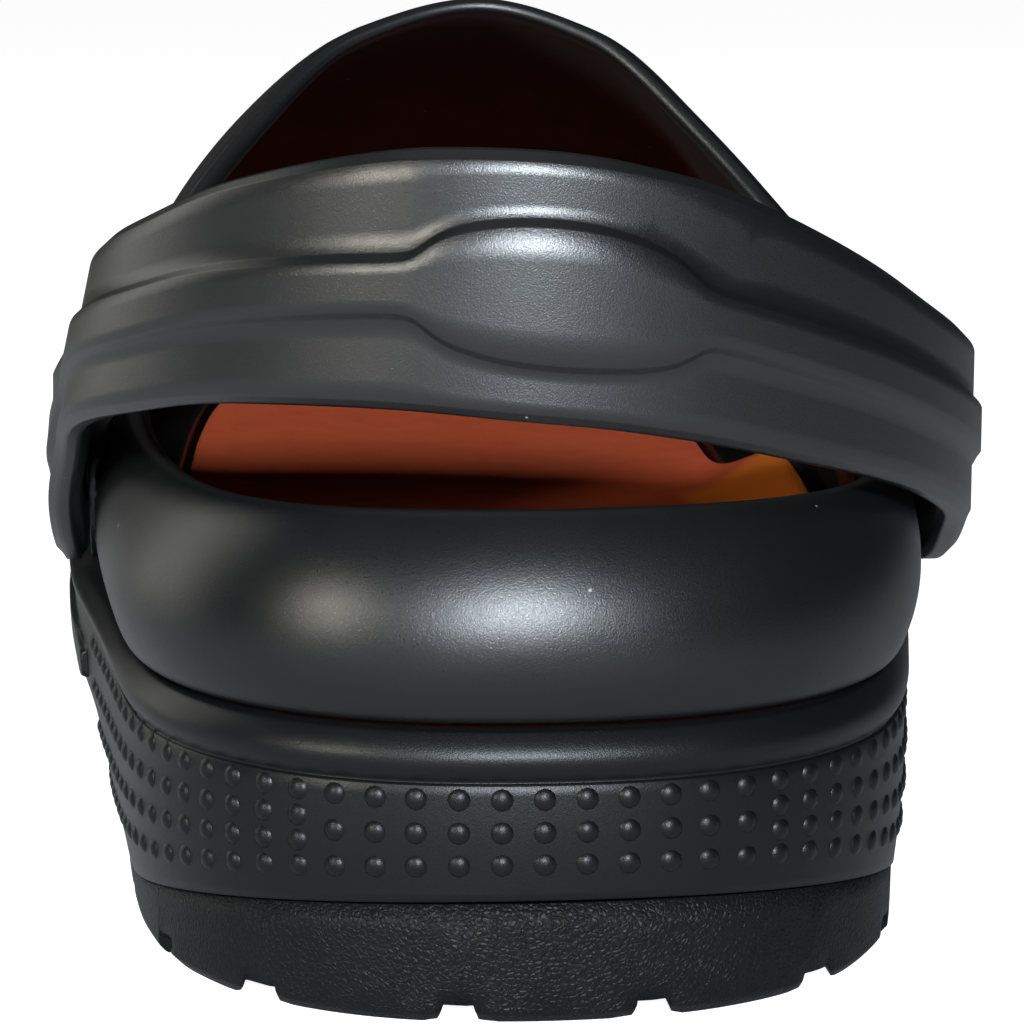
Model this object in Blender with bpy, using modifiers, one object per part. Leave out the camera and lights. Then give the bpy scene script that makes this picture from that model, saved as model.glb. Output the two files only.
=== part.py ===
"""Chef clog: a left shoe of moulded foam with a swivelling heel strap.

The shoe is modelled in its own frame. Y runs from the back of the heel to the toe, X is zero on the
heel's axis and positive towards the inner side of the foot, and Z is the height above the floor. At
the end the whole shoe is moved so that its origin is the middle of its footprint.
"""
import math
from collections import namedtuple

import bmesh
import bpy
from mathutils import Vector

MM = 0.001

# Driving dimensions, in millimetres. A groove of the tread is GROOVE_WIDTH wide at its root, and each
# of its sides slants out by GROOVE_SPREAD to a millimetre below the floor.

SOLE_LENGTH = 282.0
HALF_COLUMNS = 36
HEEL_REACH = 40.0
HEEL_POWER = 2.3
TOE_REACH = 70.0
TOE_POWER = 2.25
SEAM_GAP = 0.3

WALL = 3.0
UPPER_STEPS = 9
LIP_BEVEL = 0.9

TREAD_STEP = 0.25
TREAD_EDGE = 1.0
GROOVE_WIDTH = 2.6
GROOVE_DEPTH = 1.6
GROOVE_SPREAD = 0.9
GROOVE_ACROSS_HEEL = (24.0, 46.0, 68.0)
GROOVE_ACROSS_BALL = (166.0, 184.0, 202.0, 220.0)
GROOVE_ALONG = (-26.6, -8.6, 9.4, 26.0)
HEEL_TREAD = (-6.0, 84.0)
BALL_TREAD = (156.0, 232.0)

BED_DROP = 6.0
BED_CLEAR = 0.7
ROLL_CREASE = 0.8
ROLL_PROUD = 0.2
TUCK_POWER = 2.6
PANEL = (74.0, 146.0)
PANEL_PROUD = 0.5

STRAP_BACK = -3.0
STRAP_TURN_Y = 55.0
STRAP_THICK = 3.6
STRAP_EDGE = 1.0
BAND_RAISE = 0.9
BAND_HALF = 2.55
BAND_SLOPE = 0.45
OVAL_TURN = 15.4
OVAL_HALF = 3.9
ARM_TURN = 130.0

RIVET_Y = 88.0
AXLE_RADIUS = 3.8
AXLE_HOLE = 4.1
HEAD_RADIUS = 7.0
HEAD_THICK = 1.8
HEAD_PROUD = 0.5
BACK_HEAD_RADIUS = 6.2
BOSS_RADIUS = 10.2
BOSS_CLEAR = 0.35
BOSS_DEPTH = 3.4
BACK_SEAT = 4.8
ROUND_STEPS = 24

# Sections of the sole, heel to toe. lateral and medial are the half widths of the dotted band before
# the ends are rounded. tuck is how far the band's foot stands in from its widest line, and ledge is
# how far the upper stands in. The heights are those of the ground face, the tread line, the foot of
# the roll and the seat of the upper.

Section = namedtuple("Section", "y lateral medial tuck ledge ground tread roll seat")

SECTIONS = (
    Section(0.0, 38.8, 38.0, 0.4, 1.1, 0.0, 11.8, 22.6, 27.5),
    Section(14.0, 38.8, 38.2, 0.5, 1.0, 0.0, 9.2, 22.5, 27.5),
    Section(28.0, 39.2, 38.8, 0.8, 1.0, 0.0, 6.6, 22.4, 27.5),
    Section(42.0, 40.5, 40.8, 1.4, 1.2, 0.0, 4.2, 23.2, 27.5),
    Section(60.0, 42.9, 44.2, 2.6, 1.8, 0.0, 3.4, 24.2, 27.5),
    Section(90.0, 46.6, 49.2, 8.4, 3.2, 0.4, 3.6, 24.2, 27.5),
    Section(118.0, 47.6, 50.6, 9.2, 3.7, 3.6, 6.8, 23.6, 27.4),
    Section(150.0, 47.6, 52.0, 5.6, 3.7, 0.2, 3.6, 22.6, 27.0),
    Section(180.0, 47.6, 54.2, 3.4, 3.6, 0.0, 3.2, 22.2, 26.8),
    Section(208.0, 46.0, 55.4, 2.8, 3.4, 0.0, 3.4, 22.4, 27.0),
    Section(235.0, 43.0, 54.8, 2.4, 3.2, 1.6, 5.4, 23.6, 28.2),
    Section(260.0, 39.4, 53.0, 2.0, 3.0, 5.0, 10.6, 26.2, 30.8),
    Section(282.0, 36.0, 51.0, 1.8, 3.0, 9.4, 17.4, 29.6, 34.2),
)

# Rim of the opening, from the middle of the heel to the top of the throat

Rim = namedtuple("Rim", "along y lateral medial z")

RIM = (
    Rim(0.00, 6.0, 0.0, 0.0, 47.7),
    Rim(0.12, 9.5, 17.0, 17.0, 47.5),
    Rim(0.24, 22.0, 29.0, 31.2, 47.0),
    Rim(0.35, 42.0, 34.8, 37.8, 46.6),
    Rim(0.45, 62.0, 38.0, 41.0, 46.8),
    Rim(0.54, 80.0, 39.8, 43.4, 49.4),
    Rim(0.62, 92.0, 39.4, 43.4, 57.0),
    Rim(0.71, 101.0, 34.0, 36.8, 66.5),
    Rim(0.80, 109.5, 25.4, 28.2, 76.5),
    Rim(0.90, 117.0, 13.2, 16.8, 86.6),
    Rim(1.00, 120.5, -2.6, 2.6, 90.6),
)

# How each column of the upper runs from the sole to the rim. place is its place on the outline, 0 at
# the heel and 1 at the toe, and along its place on the rim. out and up set how the wall leaves the
# sole, lead and rise how it comes to the rim.

Column = namedtuple("Column", "place along out up lead rise")

COLUMNS = (
    Column(0.00, 0.00, 4.2, 6.2, 5.2, -3.4),
    Column(0.10, 0.15, 4.2, 6.2, 5.2, -3.4),
    Column(0.20, 0.28, 4.1, 6.2, 5.0, -3.5),
    Column(0.30, 0.43, 3.2, 6.6, 3.8, -4.4),
    Column(0.38, 0.57, 1.8, 8.5, 2.4, -7.0),
    Column(0.46, 0.70, 2.0, 14.0, 12.0, -7.0),
    Column(0.55, 0.80, 2.4, 18.0, 28.0, -10.5),
    Column(0.65, 0.87, 4.2, 19.0, 52.0, -13.0),
    Column(0.80, 0.935, 7.4, 20.0, 90.0, -20.0),
    Column(1.00, 1.00, 8.4, 20.0, 112.0, -24.0),
)

# Insole, heel to toe: how far its edge lies in from the band on the outer and the inner side, how far
# its top lies above the sole's bed, how far its edge rises over that on each side, and how wide the
# rising edge is

Bed = namedtuple("Bed", "y lateral_margin medial_margin top lateral_rise medial_rise rim_width")

BEDS = (
    Bed(0.0, 7.6, 7.6, 4.2, 5.0, 5.0, 9.0),
    Bed(40.0, 7.6, 7.6, 4.0, 4.6, 4.8, 10.0),
    Bed(80.0, 9.0, 8.6, 4.2, 3.4, 6.4, 12.0),
    Bed(118.0, 11.0, 9.2, 4.4, 2.2, 8.8, 14.0),
    Bed(150.0, 13.4, 14.4, 4.2, 1.2, 2.0, 8.0),
    Bed(190.0, 14.4, 15.4, 4.0, 0.8, 0.8, 6.0),
    Bed(282.0, 13.6, 13.6, 4.0, 0.8, 0.8, 6.0),
)

# Heel strap from the outer rivet round the back to the inner one. turn is the angle round the back,
# and past a quarter turn it runs on along the arm. middle is the height of the strap's middle line,
# half is half its width, and lean is how far its top leans in towards the foot for its height.

Strap = namedtuple("Strap", "turn middle half lean")

STRAP = (
    Strap(-130.0, 38.4, 10.8, 0.0),
    Strap(-118.0, 41.6, 9.8, 0.03),
    Strap(-105.0, 48.0, 9.0, 0.20),
    Strap(-90.0, 54.6, 8.8, 0.24),
    Strap(-75.0, 59.3, 8.9, 0.19),
    Strap(-57.0, 63.0, 9.2, 0.08),
    Strap(-40.0, 66.4, 10.2, 0.03),
    Strap(-16.0, 68.4, 11.6, 0.0),
    Strap(0.0, 67.8, 12.0, 0.0),
    Strap(16.0, 65.4, 11.7, 0.0),
    Strap(26.0, 62.7, 11.1, 0.0),
    Strap(41.0, 58.3, 9.9, 0.0),
    Strap(55.0, 53.9, 9.0, 0.0),
    Strap(75.0, 48.7, 9.0, 0.0),
    Strap(90.0, 45.6, 9.5, 0.0),
    Strap(105.0, 42.0, 10.6, 0.0),
    Strap(118.0, 39.8, 12.0, 0.0),
    Strap(130.0, 39.5, 13.0, 0.0),
)

# The two pivots of the strap: side is -1 on the outer side of the foot, curve is half the strap's
# width where its arm begins, face is where the arm lies against the boss, the arm flares out to that
# face between flare_start and flare_end, height is the rivet's and end is the radius of the arm's end

Pivot = namedtuple("Pivot", "name side curve face flare_start flare_end height end")

PIVOTS = (
    Pivot("outer", -1.0, 45.4, 44.4, 54.0, 80.0, 38.4, 10.8),
    Pivot("inner", 1.0, 49.2, 48.8, 40.0, 78.0, 39.5, 13.0),
)


def read(table, column, place, flat_ends=False):
    """A smooth value of one column of a table, at a place given in the table's first column."""
    keys = [row[0] for row in table]
    values = [getattr(row, column) for row in table]
    place = min(max(place, keys[0]), keys[-1])
    last = len(keys) - 1
    index = 0
    while index < last - 1 and place > keys[index + 1]:
        index += 1

    def slope(at):
        """The table's slope at a row, flat where the value turns back, so nothing overshoots."""
        if at in (0, last):
            if flat_ends:
                return 0.0
            near = at if at == 0 else at - 1
            return (values[near + 1] - values[near]) / (keys[near + 1] - keys[near])
        before = (values[at] - values[at - 1]) / (keys[at] - keys[at - 1])
        after = (values[at + 1] - values[at]) / (keys[at + 1] - keys[at])
        if before * after <= 0.0:
            return 0.0
        return 2.0 * before * after / (before + after)

    width = keys[index + 1] - keys[index]
    step = (place - keys[index]) / width
    start = values[index]
    end = values[index + 1]
    rise_start = slope(index) * width
    rise_end = slope(index + 1) * width
    square = step * step
    cube = square * step
    return (
        start * (2 * cube - 3 * square + 1)
        + rise_start * (cube - 2 * square + step)
        + end * (3 * square - 2 * cube)
        + rise_end * (cube - square)
    )


def section(column, y):
    """A value of the sole's sections at a distance from the heel."""
    return read(SECTIONS, column, y)


def round_end(distance, reach, power):
    """How much of the full width is left at a distance from the end of the outline."""
    if distance >= reach:
        return 1.0
    inward = 1.0 - max(distance, 0.0) / reach
    return (1.0 - inward**power) ** (1.0 / power)


def outline_point(place):
    """A point of the sole's widest line. place runs 0 to 1 up the outer side and 1 to 2 back down."""
    side = -1.0 if place <= 1.0 else 1.0
    y = 0.5 * SOLE_LENGTH * (1.0 - math.cos(math.pi * place))
    middle = 0.5 * (section("medial", y) - section("lateral", y))
    half = 0.5 * (section("medial", y) + section("lateral", y))
    middle *= min(y / HEEL_REACH, 1.0)
    half *= round_end(y, HEEL_REACH, HEEL_POWER) * round_end(SOLE_LENGTH - y, TOE_REACH, TOE_POWER)
    return Vector((middle + side * half, y, 0.0))


def outline():
    """The points of the outline and the directions that point away from it, one for each column."""
    count = 2 * HALF_COLUMNS
    points = [outline_point(index / HALF_COLUMNS) for index in range(count)]
    normals = []
    for index in range(count):
        along = points[(index + 1) % count] - points[index - 1]
        normals.append(Vector((-along.y, along.x, 0.0)).normalized())
    return points, normals


POINTS, NORMALS = outline()


def ring(inset, height):
    """One closed row of points: the outline moved in by inset(y), at the height height(y)."""
    row = []
    for point, normal in zip(POINTS, NORMALS):
        moved = point - normal * inset(point.y)
        moved.z = height(moved.y)
        row.append(moved)
    return row


def bed_ring(clear, height):
    """One closed row round the insole's bed, moved out from the insole's edge by clear."""
    row = []
    for index, (point, normal) in enumerate(zip(POINTS, NORMALS)):
        column = "lateral_margin" if index <= HALF_COLUMNS else "medial_margin"
        moved = point - normal * (read(BEDS, column, point.y) - clear)
        moved.z = height(moved.y)
        row.append(moved)
    return row


def add_ring(mesh, row):
    """The vertices of one closed row."""
    return [mesh.verts.new(point * MM) for point in row]


def bridge(mesh, lower, upper):
    """Faces between two closed rows, facing outwards when the second is above the first."""
    count = len(lower)
    for index in range(count):
        after = (index + 1) % count
        mesh.faces.new((lower[index], upper[index], upper[after], lower[after]))


def cap(mesh, row, faces_up):
    """Faces across a closed row, from the outer side to the inner side."""
    count = len(row)
    for index in range(count // 2):
        corners = [row[index], row[index + 1], row[count - index - 1], row[-index]]
        if index == 0:
            corners = [row[0], row[1], row[-1]]
        elif index == count // 2 - 1:
            corners = [row[index], row[index + 1], row[count - index]]
        if not faces_up:
            corners.reverse()
        mesh.faces.new(corners)


def finish_mesh(name, mesh, material):
    """An object in the shoe's collection from a bmesh, with outward faces and smooth shading."""
    bmesh.ops.recalc_face_normals(mesh, faces=mesh.faces)
    data = bpy.data.meshes.new(name)
    mesh.to_mesh(data)
    mesh.free()
    data.shade_smooth()
    data.set_sharp_from_angle(angle=math.radians(40.0))
    data.materials.append(material)
    piece = bpy.data.objects.new(name, data)
    SHOE.objects.link(piece)
    return piece


def make_material(name, colour, roughness, metallic=0.0):
    """A plain finish for one piece."""
    material = bpy.data.materials.new(name)
    material.use_nodes = True
    shader = material.node_tree.nodes["Principled BSDF"]
    shader.inputs["Base Color"].default_value = (*colour, 1.0)
    shader.inputs["Roughness"].default_value = roughness
    shader.inputs["Metallic"].default_value = metallic
    return material


def make_cutter(name, mesh):
    """A hidden object that cuts or joins another."""
    bmesh.ops.recalc_face_normals(mesh, faces=mesh.faces)
    data = bpy.data.meshes.new(name)
    mesh.to_mesh(data)
    mesh.free()
    tool = bpy.data.objects.new(name, data)
    tool.hide_render = True
    tool.display_type = "WIRE"
    TOOLS.objects.link(tool)
    return tool


def groove_cutter(name, low, high):
    """A long block between two corners that is wider at its foot, so that a groove has slanted sides."""
    mesh = bmesh.new()
    bmesh.ops.create_cube(mesh, size=1.0)
    size = Vector(high) - Vector(low)
    middle = 0.5 * (Vector(high) + Vector(low))
    bmesh.ops.scale(mesh, vec=size * MM, verts=mesh.verts)
    bmesh.ops.translate(mesh, vec=middle * MM, verts=mesh.verts)
    across = 0 if size.x < size.y else 1
    for vertex in mesh.verts:
        if vertex.co.z < 0.0:
            way = 1.0 if vertex.co[across] > middle[across] * MM else -1.0
            vertex.co[across] += way * GROOVE_SPREAD * MM
    return make_cutter(name, mesh)


def pin_cutter(name, pivot, near, far, radius):
    """A cylinder across the shoe on a rivet's axis, from near to far of the heel's axis."""
    mesh = bmesh.new()
    bmesh.ops.create_cone(
        mesh,
        cap_ends=True,
        segments=ROUND_STEPS,
        radius1=radius * MM,
        radius2=radius * MM,
        depth=(far - near) * MM,
    )
    for vertex in mesh.verts:
        x, y, z = vertex.co
        vertex.co = (z, x, y)
    middle = Vector((pivot.side * 0.5 * (near + far), RIVET_Y, pivot.height))
    bmesh.ops.translate(mesh, vec=middle * MM, verts=mesh.verts)
    return make_cutter(name, mesh)


def cut(piece, tool, operation="DIFFERENCE"):
    """A boolean between a piece and a cutter."""
    boolean = piece.modifiers.new(tool.name, "BOOLEAN")
    boolean.operation = operation
    boolean.object = tool
    boolean.solver = "EXACT"


def tread_height(y):
    """The line between the tread and the foam above it."""
    return section("tread", y)


def make_outsole(material):
    """The rubber tread: a wedge at the back of the heel that thins to a layer under the foam."""
    mesh = bmesh.new()
    side = lambda y: section("tuck", y) + TREAD_STEP
    lower = lambda y: section("tuck", y) + TREAD_STEP + 0.1
    foot = lambda y: section("tuck", y) + TREAD_STEP + TREAD_EDGE
    rows = (
        ring(foot, lambda y: section("ground", y)),
        ring(lower, lambda y: section("ground", y) + TREAD_EDGE),
        ring(side, lambda y: tread_height(y) - 0.5 * SEAM_GAP),
    )
    rings = [add_ring(mesh, row) for row in rows]
    cap(mesh, rings[0], faces_up=False)
    for low, high in zip(rings, rings[1:]):
        bridge(mesh, low, high)
    cap(mesh, rings[-1], faces_up=True)
    outsole = finish_mesh("outsole", mesh, material)

    for area, (start, end) in (("heel", HEEL_TREAD), ("ball", BALL_TREAD)):
        for number, x in enumerate(GROOVE_ALONG, start=1):
            low = (x - 0.5 * GROOVE_WIDTH, start, -1.0)
            high = (x + 0.5 * GROOVE_WIDTH, end, GROOVE_DEPTH)
            cut(outsole, groove_cutter(f"groove_{area}_along_{number}", low, high))
    for number, y in enumerate(GROOVE_ACROSS_HEEL + GROOVE_ACROSS_BALL, start=1):
        low = (-70.0, y - 0.5 * GROOVE_WIDTH, -1.0)
        high = (70.0, y + 0.5 * GROOVE_WIDTH, GROOVE_DEPTH + 0.02)
        cut(outsole, groove_cutter(f"groove_across_{number}", low, high))
    return outsole


def band_row(share):
    """A row of the dotted band, from its foot at 0 to the roll at 1."""
    low = lambda y: tread_height(y) + 0.5 * SEAM_GAP
    return ring(
        lambda y: section("tuck", y) * (1.0 - share) ** TUCK_POWER + 0.4 * share**4,
        lambda y: low(y) + (section("roll", y) - low(y)) * share,
    )


def roll_row(share, inset):
    """A row of the rounded roll above the band, from its foot at 0 to the upper's seat at 1."""
    return ring(
        inset,
        lambda y: section("roll", y) + (section("seat", y) - section("roll", y)) * share,
    )


def panel_point(side, y, share, out):
    """A point at a distance out from the band's own surface, on one side of the waist."""
    place = math.acos(1.0 - 2.0 * y / SOLE_LENGTH) / math.pi
    place = place if side < 0 else 2.0 - place
    point = outline_point(place)
    along = outline_point(place + 0.01) - outline_point(place - 0.01)
    normal = Vector((-along.y, along.x, 0.0)).normalized()
    low = tread_height(y) + 0.5 * SEAM_GAP
    inset = section("tuck", y) * (1.0 - share) ** TUCK_POWER + 0.4 * share**4
    moved = point + normal * (out - inset)
    moved.z = low + (section("roll", y) - low) * share
    return moved


def make_panel(pivot):
    """The smooth raised panel on one side of the waist, as a slab that sinks into the band."""
    mesh = bmesh.new()
    start, end = PANEL
    count = 10
    rings = []
    for number in range(count + 1):
        y = start + (end - start) * number / count
        short = 0.08 if number in (0, count) else 0.0
        corners = (
            (0.58 + short, PANEL_PROUD),
            (0.70, PANEL_PROUD),
            (0.78, PANEL_PROUD),
            (0.86 - short, PANEL_PROUD),
            (0.90 - short, -1.2),
            (0.78, -1.2),
            (0.70, -1.2),
            (0.54 + short, -1.2),
        )
        points = [panel_point(pivot.side, y, share, out) for share, out in corners]
        rings.append(add_ring(mesh, points))
    for low, high in zip(rings, rings[1:]):
        bridge(mesh, low, high)
    mesh.faces.new(rings[0])
    mesh.faces.new(list(reversed(rings[-1])))
    return make_cutter(f"panel_{pivot.name}", mesh)


def bed_height(y):
    """The height of the bed that the insole lies on."""
    return section("seat", y) - BED_DROP


def make_midsole(material):
    """The foam sole: dotted band, rounded roll, seat of the upper and bed of the insole."""
    mesh = bmesh.new()
    rows = [band_row(share) for share in (0.0, 0.28, 0.62, 1.0)]
    rows += [
        roll_row(0.03, lambda y: ROLL_CREASE),
        roll_row(0.28, lambda y: -0.6 * ROLL_PROUD),
        roll_row(0.55, lambda y: -ROLL_PROUD),
        roll_row(0.82, lambda y: 0.5 * section("ledge", y)),
        roll_row(1.0, lambda y: section("ledge", y) + 0.3),
        bed_ring(BED_CLEAR, lambda y: section("seat", y)),
        bed_ring(BED_CLEAR, bed_height),
    ]
    rings = [add_ring(mesh, row) for row in rows]
    cap(mesh, rings[0], faces_up=False)
    for low, high in zip(rings, rings[1:]):
        bridge(mesh, low, high)
    cap(mesh, rings[-1], faces_up=True)
    midsole = finish_mesh("midsole", mesh, material)
    for pivot in PIVOTS:
        cut(midsole, make_panel(pivot), "UNION")
    return midsole


def rim_point(along, side):
    """A point of the opening's outer rim. side is -1 on the outer side of the foot."""
    column = "lateral" if side < 0 else "medial"
    x = side * read(RIM, column, along)
    if along == 0.0:
        x = 0.0
    y = read(RIM, "y", along, flat_ends=True)
    z = read(RIM, "z", along, flat_ends=True)
    return Vector((x, y, z))


def upper_column(index):
    """The points of one column of the upper's outside, from the sole up to the rim."""
    point = POINTS[index]
    normal = NORMALS[index]
    place = min(index, 2 * HALF_COLUMNS - index) / HALF_COLUMNS
    side = -1.0 if index <= HALF_COLUMNS else 1.0
    foot = point - normal * section("ledge", point.y)
    foot.z = section("seat", foot.y) + SEAM_GAP
    rim = rim_point(read(COLUMNS, "along", place), side)
    away = foot - rim
    away.z = 0.0
    away.normalize()
    low = foot + normal * read(COLUMNS, "out", place)
    low.z += read(COLUMNS, "up", place)
    high = rim + away * read(COLUMNS, "lead", place)
    high.z += read(COLUMNS, "rise", place)
    column = []
    for step in range(UPPER_STEPS + 1):
        share = step / UPPER_STEPS
        rest = 1.0 - share
        column.append(
            foot * rest**3 + low * 3 * rest**2 * share + high * 3 * rest * share**2 + rim * share**3
        )
    return column


def make_upper(material):
    """The hollow foam shell: heel counter, sides, vamp and toe, open at the collar and underneath."""
    mesh = bmesh.new()
    columns = [upper_column(index) for index in range(2 * HALF_COLUMNS)]
    rings = [add_ring(mesh, [column[step] for column in columns]) for step in range(UPPER_STEPS + 1)]
    for low, high in zip(rings, rings[1:]):
        bridge(mesh, low, high)
    upper = finish_mesh("upper", mesh, material)

    shell = upper.modifiers.new("wall", "SOLIDIFY")
    shell.thickness = WALL * MM
    shell.offset = -1.0
    shell.use_even_offset = True
    lip = upper.modifiers.new("lip", "BEVEL")
    lip.width = LIP_BEVEL * MM
    lip.segments = 1
    lip.limit_method = "ANGLE"
    lip.angle_limit = math.radians(60.0)
    for pivot in PIVOTS:
        front = pivot.face - BOSS_CLEAR
        back = pivot.face - BACK_SEAT
        name = pivot.name
        boss = pin_cutter(f"boss_{name}", pivot, front - BOSS_DEPTH, front, BOSS_RADIUS)
        seat = pin_cutter(f"back_seat_{name}", pivot, back - 6.0, back, BACK_HEAD_RADIUS + 0.4)
        hole = pin_cutter(f"upper_hole_{name}", pivot, back - 8.0, front + 2.0, AXLE_HOLE)
        cut(upper, boss, "UNION")
        cut(upper, seat)
        cut(upper, hole)
    return upper


def insole_height(y):
    """The height of the insole's top along its middle."""
    return bed_height(y) + read(BEDS, "top", y)


def make_insole(material):
    """The footbed: a thin cushion whose edge rises round the heel and at the arch."""
    mesh = bmesh.new()

    def row(move_in, share, drop):
        """A row of the insole's top, share of the way up its rising edge."""
        points = []
        for index, (point, normal) in enumerate(zip(POINTS, NORMALS)):
            margin = read(BEDS, "lateral_margin" if index <= HALF_COLUMNS else "medial_margin", point.y)
            width = read(BEDS, "rim_width", point.y)
            moved = point - normal * (margin + move_in * width)
            outer = read(BEDS, "lateral_rise", moved.y)
            inner = read(BEDS, "medial_rise", moved.y)
            rise = outer if index <= HALF_COLUMNS else inner
            moved.z = insole_height(moved.y) + share * rise - drop
            points.append(moved)
        return points

    bottom = bed_ring(0.0, lambda y: bed_height(y) + SEAM_GAP)
    rows = [bottom, row(0.0, 0.82, 1.0), row(0.1, 1.0, 0.0), row(0.45, 0.5, 0.0), row(1.0, 0.0, 0.0)]
    rings = [add_ring(mesh, points) for points in rows]
    cap(mesh, rings[0], faces_up=False)
    for low, high in zip(rings, rings[1:]):
        bridge(mesh, low, high)
    cap(mesh, rings[-1], faces_up=True)
    return finish_mesh("insole", mesh, material)


def strap_frame(turn):
    """The strap's inner face in plan: a point and the direction away from the foot."""
    pivot = PIVOTS[0] if turn < 0 else PIVOTS[1]
    radius_x = pivot.curve - STRAP_THICK - BAND_RAISE
    radius_y = STRAP_TURN_Y - STRAP_BACK - STRAP_THICK - BAND_RAISE
    if abs(turn) <= 90.0:
        angle = math.radians(turn)
        point = Vector((radius_x * math.sin(angle), STRAP_TURN_Y - radius_y * math.cos(angle), 0.0))
        away = Vector((math.sin(angle) / radius_x, -math.cos(angle) / radius_y, 0.0)).normalized()
    else:
        share = (abs(turn) - 90.0) / (ARM_TURN - 90.0)
        y = STRAP_TURN_Y + (RIVET_Y - STRAP_TURN_Y) * share
        point = Vector((pivot.side * radius_x, y, 0.0))
        away = Vector((pivot.side, 0.0, 0.0))
    flare = (point.y - pivot.flare_start) / (pivot.flare_end - pivot.flare_start)
    flare = min(max(flare, 0.0), 1.0)
    point.x += pivot.side * (pivot.face - radius_x) * flare * flare * (3.0 - 2.0 * flare)
    return point, away


def band_half(turn):
    """Half the width of the raised band, which opens into an oval at the back."""
    if abs(turn) >= OVAL_TURN:
        return BAND_HALF
    return BAND_HALF + OVAL_HALF * math.sqrt(1.0 - (turn / OVAL_TURN) ** 2)


def strap_turns():
    """The places of the strap's sections, closer at the ends of the oval."""
    quarter = [0.0, 5.0, 9.5, 13.0, 15.2, 16.6, 22.0, 29.0, 36.0, 43.0, 50.0, 57.0, 64.0, 71.0]
    quarter += [78.0, 84.0, 90.0, 97.0, 104.0, 111.0, 118.0, 124.0, 130.0]
    return [-turn for turn in reversed(quarter[1:])] + quarter


def strap_section(point, away, middle, half, lean, band_middle, band, raised):
    """The twelve corners of one section of the strap."""
    edge = min(STRAP_EDGE, 0.5 * half)
    band_low = max(band_middle - band - middle, -half + edge + 0.6)
    band_high = min(band_middle + band - middle, half - edge - 0.6)
    corners = (
        (-half + edge, 0.0),
        (-half, edge),
        (-half, STRAP_THICK - edge),
        (-half + edge, STRAP_THICK),
        (band_low - BAND_SLOPE, STRAP_THICK),
        (band_low + BAND_SLOPE, STRAP_THICK + raised),
        (band_high - BAND_SLOPE, STRAP_THICK + raised),
        (band_high + BAND_SLOPE, STRAP_THICK),
        (half - edge, STRAP_THICK),
        (half, STRAP_THICK - edge),
        (half, edge),
        (half - edge, 0.0),
    )
    return [
        point + away * (out - lean * up) + Vector((0.0, 0.0, middle + up)) for up, out in corners
    ]


def strap_end(pivot):
    """Sections of the rounded end of one arm, past the rivet."""
    sections = []
    for angle in (22.0, 42.0, 60.0, 75.0):
        reach = pivot.end * math.sin(math.radians(angle))
        half = pivot.end * math.cos(math.radians(angle))
        point = Vector((pivot.side * pivot.face, RIVET_Y + reach, 0.0))
        away = Vector((pivot.side, 0.0, 0.0))
        band = min(BAND_HALF, 0.4 * half)
        sections.append((point, away, pivot.height, half, 0.0, pivot.height, band, 0.0))
    return sections


def make_strap(material):
    """The heel strap: one loop of foam with a raised band that opens into an oval at the back."""
    sections = list(reversed(strap_end(PIVOTS[0])))
    for turn in strap_turns():
        point, away = strap_frame(turn)
        fade = min(max((124.0 - abs(turn)) / 13.0, 0.0), 1.0)
        middle = read(STRAP, "middle", turn)
        lift = 0.5 * math.cos(math.radians(min(abs(turn) * 2.0, 90.0)))
        half = read(STRAP, "half", turn)
        lean = read(STRAP, "lean", turn)
        raised = BAND_RAISE * fade
        sections.append((point, away, middle, half, lean, middle - lift, band_half(turn), raised))
    sections += strap_end(PIVOTS[1])

    mesh = bmesh.new()
    rings = [add_ring(mesh, strap_section(*values)) for values in sections]
    for low, high in zip(rings, rings[1:]):
        bridge(mesh, low, high)
    mesh.faces.new(rings[0])
    mesh.faces.new(list(reversed(rings[-1])))
    strap = finish_mesh("heel_strap", mesh, material)

    for pivot in PIVOTS:
        outside = pivot.face + STRAP_THICK
        floor = outside + HEAD_PROUD - HEAD_THICK - SEAM_GAP
        name = pivot.name
        sink = pin_cutter(f"head_sink_{name}", pivot, floor, outside + 4.0, HEAD_RADIUS + 0.4)
        hole = pin_cutter(f"strap_hole_{name}", pivot, pivot.face - 4.0, outside, AXLE_HOLE)
        cut(strap, sink)
        cut(strap, hole)
    return strap


def make_rivet(pivot, material):
    """A plastic rivet turned about the strap's pivot, with a domed head outside and one inside."""
    outer = pivot.face + STRAP_THICK + HEAD_PROUD
    inner = pivot.face - BACK_SEAT - SEAM_GAP
    profile = (
        (outer, 0.0),
        (outer - 0.1, 0.6 * HEAD_RADIUS),
        (outer - 0.5, 0.92 * HEAD_RADIUS),
        (outer - 0.9, HEAD_RADIUS),
        (outer - HEAD_THICK, HEAD_RADIUS),
        (outer - HEAD_THICK, AXLE_RADIUS),
        (inner, AXLE_RADIUS),
        (inner, BACK_HEAD_RADIUS),
        (inner - 1.0, BACK_HEAD_RADIUS),
        (inner - 1.6, 0.8 * BACK_HEAD_RADIUS),
        (inner - 1.8, 0.0),
    )
    mesh = bmesh.new()
    points = [mesh.verts.new((radius * MM, 0.0, along * MM)) for along, radius in profile]
    for first, second in zip(points, points[1:]):
        mesh.edges.new((first, second))
    bmesh.ops.spin(
        mesh,
        geom=mesh.verts[:] + mesh.edges[:],
        cent=(0.0, 0.0, 0.0),
        axis=(0.0, 0.0, 1.0),
        angle=2.0 * math.pi,
        steps=ROUND_STEPS,
        use_merge=True,
    )
    bmesh.ops.remove_doubles(mesh, verts=mesh.verts, dist=1e-6)
    for vertex in mesh.verts:
        x, y, z = vertex.co
        vertex.co = (pivot.side * z, x, y)
    bmesh.ops.translate(mesh, vec=Vector((0.0, RIVET_Y, pivot.height)) * MM, verts=mesh.verts)
    return finish_mesh(f"rivet_{pivot.name}_side", mesh, material)


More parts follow.
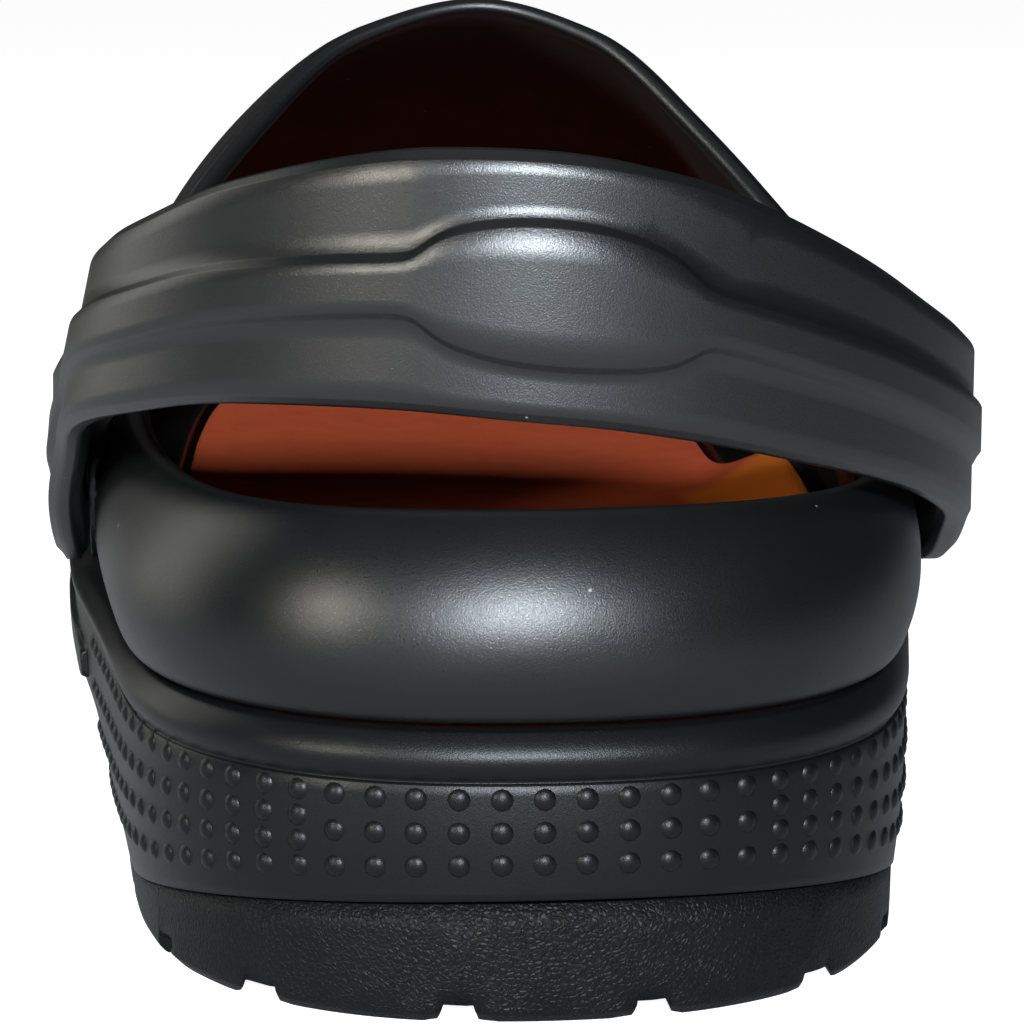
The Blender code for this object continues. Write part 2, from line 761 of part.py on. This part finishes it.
def stand_on_origin(pieces):
    """Parent every piece to one empty, and put the middle of the shoe's footprint at the origin."""
    bpy.context.view_layer.update()
    graph = bpy.context.evaluated_depsgraph_get()
    low = Vector((1e9, 1e9, 1e9))
    high = -low
    for piece in pieces:
        data = piece.evaluated_get(graph).to_mesh()
        for vertex in data.vertices:
            low = Vector(map(min, low, vertex.co))
            high = Vector(map(max, high, vertex.co))
        piece.evaluated_get(graph).to_mesh_clear()
    base = bpy.data.objects.new("chef_clog_origin", None)
    SHOE.objects.link(base)
    for item in list(SHOE.objects) + list(TOOLS.objects):
        if item is not base:
            item.parent = base
    base.location = (-0.5 * (low.x + high.x), -0.5 * (low.y + high.y), -low.z)
    size = high - low
    print("size in mm", [round(value / MM, 1) for value in size])
    print("moved by mm", [round(value / MM, 2) for value in base.location])


for thing in list(bpy.data.objects):
    bpy.data.objects.remove(thing, do_unlink=True)

SHOE = bpy.data.collections.new("chef_clog")
TOOLS = bpy.data.collections.new("cutters")
bpy.context.scene.collection.children.link(SHOE)
bpy.context.scene.collection.children.link(TOOLS)

BLACK_FOAM = make_material("black_foam", (0.018, 0.019, 0.021), 0.45)
STRAP_FOAM = make_material("strap_foam", (0.019, 0.020, 0.022), 0.42)
SOLE_FOAM = make_material("sole_foam", (0.017, 0.018, 0.020), 0.48)
TREAD_RUBBER = make_material("tread_rubber", (0.014, 0.014, 0.015), 0.62)
INSOLE_FABRIC = make_material("insole_fabric", (0.62, 0.20, 0.05), 0.85)
RIVET_PLASTIC = make_material("rivet_plastic", (0.02, 0.02, 0.02), 0.35)

PIECES = [
    make_outsole(TREAD_RUBBER),
    make_midsole(SOLE_FOAM),
    make_upper(BLACK_FOAM),
    make_insole(INSOLE_FABRIC),
    make_strap(STRAP_FOAM),
    *(make_rivet(pivot, RIVET_PLASTIC) for pivot in PIVOTS),
]
stand_on_origin(PIECES)
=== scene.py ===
# %% [markdown]
# # Chef clog, left shoe: the visual model
#
# The solids of the shoe come in as the frame. The upper, the soles, the footbed and the strap are
# each followed by a smooth piece that takes its place: the same form with finer curves; the rivets
# stay as they are. Round nubs are set in rows on the band of the sole. The finishes are procedural:
# satin black foam, a grained tread and an orange footbed. The camera stands where the photograph was
# taken from, close behind the heel, a little to the left and a little above.

import math

import bmesh
import bpy
from mathutils import Matrix, Vector
from mathutils.bvhtree import BVHTree


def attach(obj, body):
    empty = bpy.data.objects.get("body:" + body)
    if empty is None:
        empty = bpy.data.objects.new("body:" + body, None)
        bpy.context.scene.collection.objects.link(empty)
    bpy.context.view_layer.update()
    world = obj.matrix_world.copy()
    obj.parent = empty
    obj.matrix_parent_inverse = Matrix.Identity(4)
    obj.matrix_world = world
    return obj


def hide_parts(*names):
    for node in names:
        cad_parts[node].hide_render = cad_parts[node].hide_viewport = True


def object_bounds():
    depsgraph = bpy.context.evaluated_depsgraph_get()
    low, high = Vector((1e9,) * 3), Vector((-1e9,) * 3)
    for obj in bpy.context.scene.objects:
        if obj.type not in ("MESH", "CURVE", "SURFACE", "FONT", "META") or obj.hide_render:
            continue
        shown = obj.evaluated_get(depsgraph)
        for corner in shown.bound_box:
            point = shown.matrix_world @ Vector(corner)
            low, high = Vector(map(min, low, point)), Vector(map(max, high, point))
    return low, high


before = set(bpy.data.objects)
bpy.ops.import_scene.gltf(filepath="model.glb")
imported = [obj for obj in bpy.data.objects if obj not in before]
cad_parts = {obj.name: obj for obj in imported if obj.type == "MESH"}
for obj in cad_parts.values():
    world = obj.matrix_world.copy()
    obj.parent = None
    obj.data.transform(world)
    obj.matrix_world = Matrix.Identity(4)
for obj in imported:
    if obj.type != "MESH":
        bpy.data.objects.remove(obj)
bounds_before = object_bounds()
MM = 0.001
low, high = bounds_before
print("frame box in mm", [round(v / MM, 1) for v in (*low, *high)])

# Where the heel's axis and the sole's back end lie in the row frame
HEEL_X = -3.54 * MM
SOLE_Y = -139.6 * MM
HEEL_Y = low.y

# Heights that split a piece where its corners are kept sharp
UPPER_FOOT = 36.0 * MM
BED_EDGE = 20.0 * MM
TREAD_FACE = 1.7 * MM

# %% [markdown]
# ## Smooth pieces
#
# A node's mesh is loose triangles. A copy is merged, its triangles are joined into quads, its real
# corners are creased, and it is subdivided, so that the curves that the solid shows as flats are
# round. Creased corners stay where they are in the solid.

# %% Copies of the solids with finer curves
def smooth_copy(node, name, corner, crease, keep=None):
    """A piece that follows a node: merged, joined into quads, creased at its corners, subdivided.

    corner is the angle from which an edge counts as a corner, and keep says which stay quite sharp.
    """
    mesh = bmesh.new()
    mesh.from_mesh(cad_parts[node].data)
    bmesh.ops.remove_doubles(mesh, verts=mesh.verts, dist=0.002 * MM)
    bmesh.ops.dissolve_degenerate(mesh, edges=mesh.edges, dist=0.01 * MM)
    bmesh.ops.join_triangles(
        mesh,
        faces=mesh.faces,
        cmp_seam=False,
        cmp_sharp=False,
        cmp_uvs=False,
        cmp_vcols=False,
        cmp_materials=False,
        angle_face_threshold=math.radians(35.0),
        angle_shape_threshold=math.radians(60.0),
    )
    bmesh.ops.recalc_face_normals(mesh, faces=mesh.faces)
    layer = mesh.edges.layers.float.new("crease_edge")
    creased = 0
    for edge in mesh.edges:
        if len(edge.link_faces) == 2 and edge.calc_face_angle() > math.radians(corner):
            sharp = keep is not None and keep(0.5 * (edge.verts[0].co + edge.verts[1].co))
            edge[layer] = 1.0 if sharp else crease
            creased += 1
    data = bpy.data.meshes.new(name)
    mesh.to_mesh(data)
    mesh.free()
    data.shade_smooth()
    piece = bpy.data.objects.new(name, data)
    bpy.context.scene.collection.objects.link(piece)
    finer = piece.modifiers.new("finer", "SUBSURF")
    finer.levels = 2
    finer.render_levels = 2
    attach(piece, "root")
    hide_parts(node)
    print(name, len(data.polygons), "faces,", creased, "creased edges")
    return piece


upper = smooth_copy("upper", "upper_skin", 50.0, 0.5, lambda at: at.z < UPPER_FOOT)
midsole = smooth_copy("midsole", "midsole_skin", 38.0, 0.6, lambda at: at.z < BED_EDGE)
outsole = smooth_copy("outsole", "outsole_skin", 30.0, 0.9, lambda at: at.z > TREAD_FACE)
insole = smooth_copy("insole", "insole_skin", 45.0, 0.5)
strap = smooth_copy("heel_strap", "heel_strap_skin", 28.0, 1.0)

# %% [markdown]
# The solids stand 0.3 mm apart. On the shoe the foam pieces are bonded, so the foot of the upper goes
# down to its seat.

# %% Close the seam
SEAM = 0.29 * MM
SEAM_TOP = 38.0 * MM


def close_seam(piece, way, distance):
    """Move the low faces that look straight up or straight down by a distance."""
    mesh = bmesh.new()
    mesh.from_mesh(piece.data)
    found = [
        face
        for face in mesh.faces
        if face.normal.z * way > 0.9 and face.calc_center_median().z < SEAM_TOP
    ]
    corners = {vertex for face in found for vertex in face.verts}
    bmesh.ops.translate(mesh, vec=(0.0, 0.0, way * distance), verts=list(corners))
    mesh.to_mesh(piece.data)
    mesh.free()
    print(piece.name, len(corners), "corners moved")


close_seam(upper, -1.0, SEAM)

# %% [markdown]
# The wall's inner side is matt, its outer side satin. The inner side is where the surface faces the
# middle of the foot's room, and an attribute keeps it.

# %% Mark the inner side of the wall
ROOM_BACK = SOLE_Y + 45.0 * MM
ROOM_FRONT = 80.0 * MM
ROOM_HEIGHT = 38.0 * MM


def mark_lining(piece):
    """An attribute that is 1 where the wall faces the foot and 0 elsewhere."""
    mesh = bmesh.new()
    mesh.from_mesh(piece.data)
    mesh.normal_update()
    layer = mesh.verts.layers.float.new("lining")
    count = 0
    for vertex in mesh.verts:
        y = min(max(vertex.co.y, ROOM_BACK), ROOM_FRONT)
        inward = (Vector((0.0, y, ROOM_HEIGHT)) - vertex.co).normalized()
        vertex[layer] = 1.0 if vertex.normal.dot(inward) > 0.3 else 0.0
        count += vertex[layer] > 0.5
    mesh.to_mesh(piece.data)
    mesh.free()
    print(piece.name, count, "corners on the inner side")


mark_lining(upper)

# %% [markdown]
# ## Nubs
#
# Round nubs stand in rows on the band, from one waist panel round the back of the heel to the other.
# There are three rows at the back and four along the sides, where the band is taller. Each nub is a
# flattened ball, set on the band's own surface and turned to face out of it.

# %% Rows of nubs on the band
NUB_PITCH = 3.9 * MM
NUB_RADIUS = 1.25 * MM
NUB_HEIGHT = 0.85 * MM
NUB_SINK = 0.45 * MM
NUB_END = 67.0 * MM
NUB_SHIFT = -0.8 * MM
BACK_NUBS = 5
RAY_START = 120.0 * MM
BAND_MIDDLE = 18.0 * MM

bpy.context.view_layer.update()
graph = bpy.context.evaluated_depsgraph_get()
surface = BVHTree.FromObject(midsole, graph)
TURN_Y = SOLE_Y + 40.0 * MM


def look_in(place):
    """Where a ray into the band starts and which way it goes. place is 0 at the back of the heel."""
    side = -1.0 if place < 0.0 else 1.0
    if abs(place) <= 1.0:
        angle = place * math.pi / 2.0
        away = Vector((math.sin(angle), -math.cos(angle), 0.0))
        return Vector((HEEL_X, TURN_Y, 0.0)) + away * RAY_START, -away
    y = TURN_Y + (abs(place) - 1.0) * 0.1
    return Vector((HEEL_X + side * RAY_START, y, 0.0)), Vector((-side, 0.0, 0.0))


def band_hit(place, height):
    """A point of the band's surface and its outward normal."""
    start, inward = look_in(place)
    start.z = height
    point, normal, index, distance = surface.ray_cast(start, inward)
    if point is None:
        return None
    return point, normal if normal.dot(inward) < 0.0 else -normal


def row_heights(y, rows):
    """The heights of the rows at a y. The tables say, in mm, how the top and bottom rows run."""
    keys = (0.0, 15.0, 25.0, 45.0, 70.0)
    tops = (21.3, 21.3, 21.5, 22.0, 22.4)
    back = (15.3, 12.5, 10.8, 8.9, 8.0)
    along = min(max((y - SOLE_Y) / MM, 0.0), 70.0)
    index = max(i for i in range(4) if along >= keys[i])
    share = (along - keys[index]) / (keys[index + 1] - keys[index])
    bottom = (back[index] + (back[index + 1] - back[index]) * share) * MM
    top = (tops[index] + (tops[index + 1] - tops[index]) * share) * MM
    return [top + (bottom - top) * row / (rows - 1) for row in range(rows)]


places = [step / 400.0 for step in range(-560, 561)]
path = [(place, band_hit(place, BAND_MIDDLE)) for place in places]
path = [(place, hit[0]) for place, hit in path if hit and hit[0].y <= SOLE_Y + NUB_END]
lengths = [0.0]
for before, after in zip(path, path[1:]):
    lengths.append(lengths[-1] + (after[1] - before[1]).length)
middle = min(range(len(path)), key=lambda i: abs(path[i][0]))
lengths = [length - lengths[middle] for length in lengths]

nubs = bmesh.new()
count = 0
first = math.ceil(lengths[0] / NUB_PITCH)
last = math.floor(lengths[-1] / NUB_PITCH)
for number in range(first, last + 1):
    wanted = number * NUB_PITCH + NUB_SHIFT
    index = min(range(len(path)), key=lambda i: abs(lengths[i] - wanted))
    place, at = path[index]
    rows = 3 if abs(number) <= BACK_NUBS else 4
    for row, height in enumerate(row_heights(at.y, rows)):
        hit = band_hit(place, height)
        if hit is None:
            continue
        point, normal = hit
        turned = normal.to_track_quat("Z", "Y").to_matrix().to_4x4()
        size = Matrix.Diagonal((NUB_RADIUS, NUB_RADIUS, NUB_HEIGHT, 1.0))
        bmesh.ops.create_uvsphere(
            nubs,
            u_segments=12,
            v_segments=10,
            radius=1.0,
            matrix=Matrix.Translation(point - normal * NUB_SINK) @ turned @ size,
        )
        count += 1
data = bpy.data.meshes.new("band_nubs")
nubs.to_mesh(data)
nubs.free()
data.shade_smooth()
band_nubs = bpy.data.objects.new("band_nubs", data)
bpy.context.scene.collection.objects.link(band_nubs)
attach(band_nubs, "root")
print(count, "nubs,", len(data.polygons), "faces")

# %% [markdown]
# ## Finishes
#
# The foam's skin is a satin black with a fine grain that breaks up its highlights, a slow change in
# gloss, and a few specks of lint. The tread has a leather-like grain. The footbed is a matt orange
# cloth. Shared effects are node groups with named inputs, and every pattern is in object coordinates.

# %% Node groups
def new_group(name, inputs, outputs):
    """A shader node group with its sockets, and its first and last nodes."""
    group = bpy.data.node_groups.new(name, "ShaderNodeTree")
    for label, kind, value in inputs:
        socket = group.interface.new_socket(name=label, in_out="INPUT", socket_type=kind)
        if value is not None:
            socket.default_value = value
    for label, kind in outputs:
        group.interface.new_socket(name=label, in_out="OUTPUT", socket_type=kind)
    return group, group.nodes.new("NodeGroupInput"), group.nodes.new("NodeGroupOutput")


def scaled(group, source, factor):
    """The position times a factor."""
    node = group.nodes.new("ShaderNodeVectorMath")
    node.operation = "SCALE"
    node.inputs["Scale"].default_value = factor
    group.links.new(source, node.inputs[0])
    return node.outputs["Vector"]


def noise(group, vector, size, detail=2.0, rough=0.5):
    """Noise with features of a size in millimetres."""
    node = group.nodes.new("ShaderNodeTexNoise")
    node.inputs["Scale"].default_value = 1.0 / size
    node.inputs["Detail"].default_value = detail
    node.inputs["Roughness"].default_value = rough
    group.links.new(vector, node.inputs["Vector"])
    return node.outputs["Fac"]


def span(group, value, from_low, from_high, to_low, to_high):
    """A value moved from one range to another, and held inside it."""
    node = group.nodes.new("ShaderNodeMapRange")
    node.inputs["From Min"].default_value = from_low
    node.inputs["From Max"].default_value = from_high
    node.inputs["To Min"].default_value = to_low
    node.inputs["To Max"].default_value = to_high
    group.links.new(value, node.inputs["Value"])
    return node.outputs["Result"]


def math_node(group, operation, first, second):
    """Arithmetic on two values, either of which may be a number."""
    node = group.nodes.new("ShaderNodeMath")
    node.operation = operation
    for index, value in enumerate((first, second)):
        if isinstance(value, (int, float)):
            node.inputs[index].default_value = value
        else:
            group.links.new(value, node.inputs[index])
    return node.outputs["Value"]


def make_skin_group():
    """Fine grain, slow changes of gloss and a few specks, for every foam piece."""
    group, start, end = new_group(
        "foam_skin",
        [("Position", "NodeSocketVector", None), ("Gloss", "NodeSocketFloat", 0.35)],
        [
            ("Roughness", "NodeSocketFloat"),
            ("Height", "NodeSocketFloat"),
            ("Speck", "NodeSocketFloat"),
        ],
    )
    position = scaled(group, start.outputs["Position"], 1000.0)
    fine = noise(group, position, 0.16, 3.0, 0.6)
    coarse = noise(group, position, 1.1, 2.0)
    wave = noise(group, position, 14.0, 2.0)
    height = math_node(group, "ADD", fine, math_node(group, "MULTIPLY", coarse, 0.35))
    group.links.new(height, end.inputs["Height"])
    change = span(group, wave, 0.3, 0.7, -0.02, 0.02)
    sparkle = span(group, fine, 0.3, 0.7, -0.05, 0.05)
    rough = math_node(group, "ADD", start.outputs["Gloss"], change)
    rough = math_node(group, "ADD", rough, sparkle)
    group.links.new(rough, end.inputs["Roughness"])
    cells = group.nodes.new("ShaderNodeTexVoronoi")
    cells.inputs["Scale"].default_value = 1.0 / 7.0
    group.links.new(position, cells.inputs["Vector"])
    speck = span(group, cells.outputs["Distance"], 0.018, 0.03, 1.0, 0.0)
    gate = span(group, noise(group, position, 9.0, 1.0), 0.50, 0.56, 0.0, 1.0)
    group.links.new(math_node(group, "MULTIPLY", speck, gate), end.inputs["Speck"])
    return group


def make_grain_group():
    """A leather-like grain: cells with soft borders, broken up by finer noise."""
    group, start, end = new_group(
        "tread_grain",
        [("Position", "NodeSocketVector", None), ("Cell", "NodeSocketFloat", 1.0)],
        [("Height", "NodeSocketFloat"), ("Shade", "NodeSocketFloat")],
    )
    position = scaled(group, start.outputs["Position"], 1000.0)
    bend = group.nodes.new("ShaderNodeTexNoise")
    bend.inputs["Scale"].default_value = 0.8
    group.links.new(position, bend.inputs["Vector"])
    mix = group.nodes.new("ShaderNodeVectorMath")
    mix.operation = "ADD"
    group.links.new(position, mix.inputs[0])
    group.links.new(bend.outputs["Color"], mix.inputs[1])
    cells = group.nodes.new("ShaderNodeTexVoronoi")
    cells.feature = "DISTANCE_TO_EDGE"
    group.links.new(mix.outputs["Vector"], cells.inputs["Vector"])
    group.links.new(start.outputs["Cell"], cells.inputs["Scale"])
    pads = span(group, cells.outputs["Distance"], 0.0, 0.28, 0.0, 1.0)
    height = math_node(group, "MULTIPLY", pads, noise(group, position, 0.6, 3.0))
    group.links.new(height, end.inputs["Height"])
    group.links.new(noise(group, position, 5.0, 2.0), end.inputs["Shade"])
    return group


SKIN = make_skin_group()
GRAIN = make_grain_group()

# %% Materials
def start_material(name, colour, roughness):
    """A material with its shader, its position node and a bump node in front of the normal."""
    material = bpy.data.materials.new(name)
    material.use_nodes = True
    tree = material.node_tree
    shader = tree.nodes["Principled BSDF"]
    shader.inputs["Base Color"].default_value = (*colour, 1.0)
    shader.inputs["Roughness"].default_value = roughness
    place = tree.nodes.new("ShaderNodeTexCoord")
    bump = tree.nodes.new("ShaderNodeBump")
    tree.links.new(bump.outputs["Normal"], shader.inputs["Normal"])
    return material, tree, shader, place.outputs["Object"], bump


def use_group(tree, group, position):
    """A node that applies a group at a position."""
    node = tree.nodes.new("ShaderNodeGroup")
    node.node_tree = group
    tree.links.new(position, node.inputs["Position"])
    return node


def mix_colours(tree, factor, first, second):
    """One colour or another by a mask. Either may be an output of another node."""
    node = tree.nodes.new("ShaderNodeMix")
    node.data_type = "RGBA"
    for socket, colour in ((node.inputs[6], first), (node.inputs[7], second)):
        if isinstance(colour, tuple):
            socket.default_value = (*colour, 1.0)
        else:
            tree.links.new(colour, socket)
    tree.links.new(factor, node.inputs["Factor"])
    return node.outputs[2]


def foam(name, colour, gloss, grain, specular=0.42, lining=None):
    """Satin closed-cell foam, matt where the attribute named as its lining is 1."""
    material, tree, shader, position, bump = start_material(name, colour, gloss)
    skin = use_group(tree, SKIN, position)
    skin.inputs["Gloss"].default_value = gloss
    rough = skin.outputs["Roughness"]
    if lining:
        inside = tree.nodes.new("ShaderNodeAttribute")
        inside.attribute_name = lining
        rough = math_node(tree, "ADD", rough, span(tree, inside.outputs["Fac"], 0.2, 0.8, 0.0, 0.6))
    tree.links.new(rough, shader.inputs["Roughness"])
    tree.links.new(skin.outputs["Height"], bump.inputs["Height"])
    tree.links.new(
        mix_colours(tree, skin.outputs["Speck"], colour, (0.35, 0.35, 0.33)),
        shader.inputs["Base Color"],
    )
    bump.inputs["Distance"].default_value = grain
    shader.inputs["Specular IOR Level"].default_value = specular
    return material


def tread(name):
    """Matt grained rubber."""
    colour = (0.005, 0.005, 0.0055)
    material, tree, shader, position, bump = start_material(name, colour, 0.44)
    grain = use_group(tree, GRAIN, position)
    grain.inputs["Cell"].default_value = 1.9
    tree.links.new(grain.outputs["Height"], bump.inputs["Height"])
    tree.links.new(
        mix_colours(tree, grain.outputs["Shade"], (0.004, 0.004, 0.0045), (0.007, 0.007, 0.0075)),
        shader.inputs["Base Color"],
    )
    bump.inputs["Distance"].default_value = 0.11 * MM
    shader.inputs["Specular IOR Level"].default_value = 0.12
    return material


def cloth(name):
    """The footbed's orange nap, with painted light on the raised edge at the arch: a lighter orange
    there.
    """
    colour = (0.68, 0.106, 0.036)
    material, tree, shader, position, bump = start_material(name, colour, 0.85)
    grain = use_group(tree, GRAIN, position)
    grain.inputs["Cell"].default_value = 2.2
    tree.links.new(grain.outputs["Height"], bump.inputs["Height"])
    nap = mix_colours(tree, grain.outputs["Shade"], colour, (0.84, 0.140, 0.048))
    # Painted light: the raised edge at the arch is a lighter orange, standing in for light that falls
    # on it.
    split = tree.nodes.new("ShaderNodeSeparateXYZ")
    tree.links.new(position, split.inputs["Vector"])
    across = span(tree, split.outputs["X"], 24.5 * MM, 26.5 * MM, 0.0, 1.0)
    along = span(tree, split.outputs["Y"], -16.0 * MM, -8.0 * MM, 1.0, 0.0)
    edge = math_node(tree, "MULTIPLY", across, along)
    tree.links.new(mix_colours(tree, edge, nap, (1.0, 0.24, 0.026)), shader.inputs["Base Color"])
    bump.inputs["Distance"].default_value = 0.06 * MM
    shader.inputs["Specular IOR Level"].default_value = 0.15
    return material


def put(material, *things):
    """The material of these pieces."""
    for thing in things:
        thing.data.materials.clear()
        thing.data.materials.append(material)


GRAIN_DEPTH = 0.026 * MM
wall_foam = foam("black_foam_skin", (0.0040, 0.0042, 0.0046), 0.325, GRAIN_DEPTH, lining="lining")
put(wall_foam, upper)
put(foam("strap_foam_skin", (0.0042, 0.0044, 0.0048), 0.33, GRAIN_DEPTH, 0.70), strap)
put(foam("sole_foam_skin", (0.0038, 0.0040, 0.0044), 0.36, GRAIN_DEPTH, 0.24), midsole, band_nubs)
put(tread("tread_rubber_grain"), outsole)
put(cloth("insole_cloth"), insole)
plastic = start_material("rivet_satin", (0.012, 0.012, 0.012), 0.4)[0]
for name in ("rivet_outer_side", "rivet_inner_side"):
    put(plastic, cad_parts[name])
print(len(bpy.data.materials), "materials")

# %% [markdown]
# ## Floor, light and camera
#
# The floor is pale and plain, and the camera sees it brighter than the light makes it. A small cool
# key light stands above and behind the camera, low enough for the strap to throw its shadow on the
# footbed. A warm light stands on the left, a broad one on the far left gives that edge its sheen, and
# a weak one hangs above. The camera looks at the heel along the axis of the photograph: five degrees
# to the left of the shoe's axis and ten degrees down, 300 mm behind the heel, so the shoe fills the
# frame.

# %% Floor and light
bpy.ops.mesh.primitive_plane_add(size=8.0, location=(0.0, 0.0, 0.0))
floor = bpy.context.object
floor.name = "floor"
pale = bpy.data.materials.new("pale_floor")
pale.use_nodes = True
shader = pale.node_tree.nodes["Principled BSDF"]
shader.inputs["Base Color"].default_value = (0.6, 0.6, 0.6, 1.0)
shader.inputs["Roughness"].default_value = 0.9
shader.inputs["Specular IOR Level"].default_value = 0.1
shader.inputs["Emission Color"].default_value = (1.0, 1.0, 1.0, 1.0)
seen = pale.node_tree.nodes.new("ShaderNodeLightPath")
shine = pale.node_tree.nodes.new("ShaderNodeMath")
shine.operation = "MULTIPLY"
shine.inputs[1].default_value = 0.95
pale.node_tree.links.new(seen.outputs["Is Camera Ray"], shine.inputs[0])
pale.node_tree.links.new(shine.outputs["Value"], shader.inputs["Emission Strength"])
put(pale, floor)


def area_light(name, place, target, size, power, colour=(1.0, 1.0, 1.0)):
    """A soft rectangular light that faces a point. Lengths in metres, power in watts."""
    light = bpy.data.lights.new(name, "AREA")
    light.shape = "RECTANGLE"
    light.size, light.size_y = size
    light.energy = power
    light.color = colour
    item = bpy.data.objects.new(name, light)
    item.location = place
    item.rotation_mode = "QUATERNION"
    item.rotation_quaternion = (Vector(target) - Vector(place)).to_track_quat("-Z", "Y")
    bpy.context.scene.collection.objects.link(item)
    return item


AIM = (0.0, HEEL_Y + 0.05, 0.045)
COOL = (0.84, 0.92, 1.0)
WARM = (1.0, 0.98, 0.86)
PALE = (1.0, 0.99, 0.94)
area_light("key_light", (-0.03, HEEL_Y - 0.75, 0.318), AIM, (0.04, 0.05), 12.0, COOL)
area_light("left_light", (-0.66, HEEL_Y - 0.50, 0.30), AIM, (0.16, 0.22), 3.8, WARM)
area_light("side_light", (-0.8, HEEL_Y + 0.65, 0.36), AIM, (0.6, 0.8), 2.0, PALE)
area_light("top_light", (-0.1, 0.0, 1.1), (0.0, 0.0, 0.0), (0.9, 0.9), 0.7)

world = bpy.context.scene.world or bpy.data.worlds.new("studio")
bpy.context.scene.world = world
world.use_nodes = True
world.node_tree.nodes["Background"].inputs["Color"].default_value = (1.0, 1.0, 1.0, 1.0)
world.node_tree.nodes["Background"].inputs["Strength"].default_value = 0.035

# %% Camera
YAW = math.radians(5.0)
PITCH = math.radians(10.0)
BEHIND = 300.0 * MM
ASIDE = 3.8 * MM
ABOVE = 100.7 * MM
FOCAL_SHARE = 3427.0 / 1024.0
ahead = Vector((math.sin(YAW), math.cos(YAW), 0.0))
right = Vector((math.cos(YAW), -math.sin(YAW), 0.0))
forward = ahead * math.cos(PITCH) - Vector((0.0, 0.0, math.sin(PITCH)))
up = right.cross(forward)
origin = Vector((HEEL_X, SOLE_Y, 0.0))
spot = origin - right * ASIDE - ahead * BEHIND + Vector((0.0, 0.0, ABOVE))
lens = bpy.data.cameras.new("camera")
lens.sensor_width = 36.0
lens.lens = FOCAL_SHARE * lens.sensor_width
lens.clip_start = 0.01
lens.clip_end = 20.0
camera = bpy.data.objects.new("camera", lens)
turn = Matrix((right, up, -forward)).transposed().to_4x4()
camera.matrix_world = Matrix.Translation(spot) @ turn
bpy.context.scene.collection.objects.link(camera)
bpy.context.scene.camera = camera
bpy.context.scene.view_settings.view_transform = "Standard"
